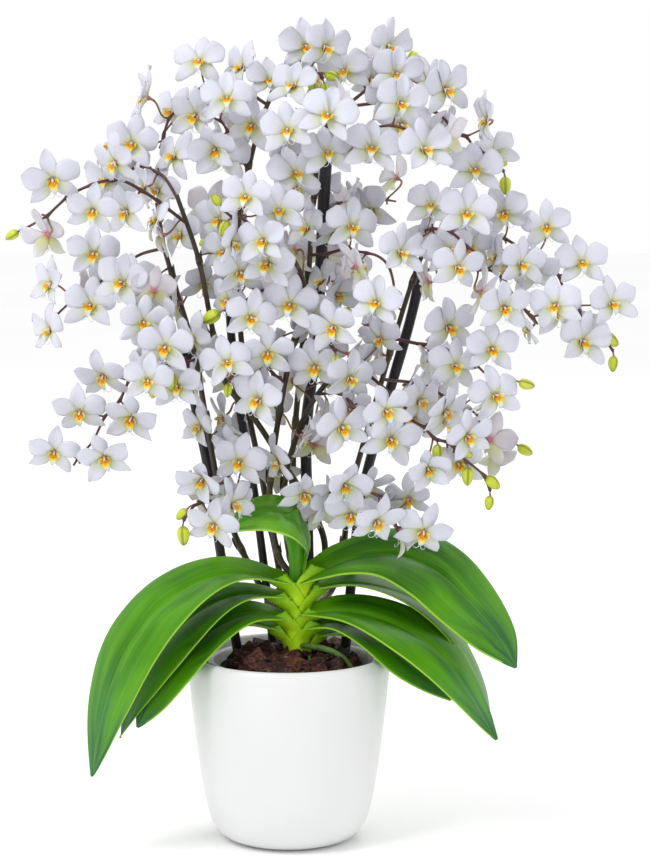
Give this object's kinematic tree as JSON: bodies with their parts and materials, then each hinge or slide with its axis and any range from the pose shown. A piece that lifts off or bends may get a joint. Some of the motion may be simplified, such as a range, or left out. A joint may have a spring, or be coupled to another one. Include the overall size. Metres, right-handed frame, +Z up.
{
  "type": "potted orchid",
  "caption": "Tall moth orchid with a wide crown of small white blooms on arching dark spikes, strap leaves and a plain white ceramic cover pot.",
  "frame": {"origin": "middle of the cover pot's flat foot, on the surface that the pot stands on", "axes": "+Z up along the pot's axis, -Y towards the viewer, +X to the viewer's right"},
  "size_m": [0.4221, 0.1867, 0.5619],
  "materials": {
    "ceramic": "satin",
    "clear_plastic": "gloss",
    "bark": "matte",
    "green_stem": "satin",
    "leaf": "satin",
    "root": "satin",
    "stake": "satin",
    "spike": "satin",
    "petal": "matte"
  },
  "bodies": {
    "root": {"cover_pot": "ceramic", "nursery_pot": "clear_plastic", "bark_mix": "bark", "stem": "green_stem", "leaf_left_top": "leaf", "leaf_left_second": "leaf", "leaf_left_third": "leaf", "leaf_left_low": "leaf", "leaf_right_top": "leaf", "leaf_right_second": "leaf", "leaf_right_third": "leaf", "leaf_right_fourth": "leaf", "leaf_right_low": "leaf", "leaf_crown": "leaf", "aerial_root": "root", "stake_left": "stake", "stake_middle_left": "stake", "stake_centre": "stake", "stake_right": "stake", "spike_left": "spike", "spike_middle_left": "spike", "spike_crossing": "spike", "spike_centre": "spike", "spike_low_right": "spike", "spike_slender": "spike", "spike_right": "spike", "spray_01": "petal", "spray_02": "petal", "spray_03": "petal", "spray_04": "petal", "spray_05": "petal", "spray_06": "petal", "spray_07": "petal", "spray_08": "petal", "spray_09": "petal", "spray_10": "petal", "spray_11": "petal", "spray_12": "petal", "spray_13": "petal", "spray_14": "petal", "spray_15": "petal", "spray_16": "petal", "spray_17": "petal", "spray_18": "petal", "spray_19": "petal", "spray_20": "petal", "spray_21": "petal", "spray_22": "petal", "spray_23": "petal", "spray_24": "petal", "spray_25": "petal", "spray_26": "petal", "spray_27": "petal", "spray_28": "petal", "spray_29": "petal", "spray_30": "petal", "spray_31": "petal"}
  },
  "joints": []
}
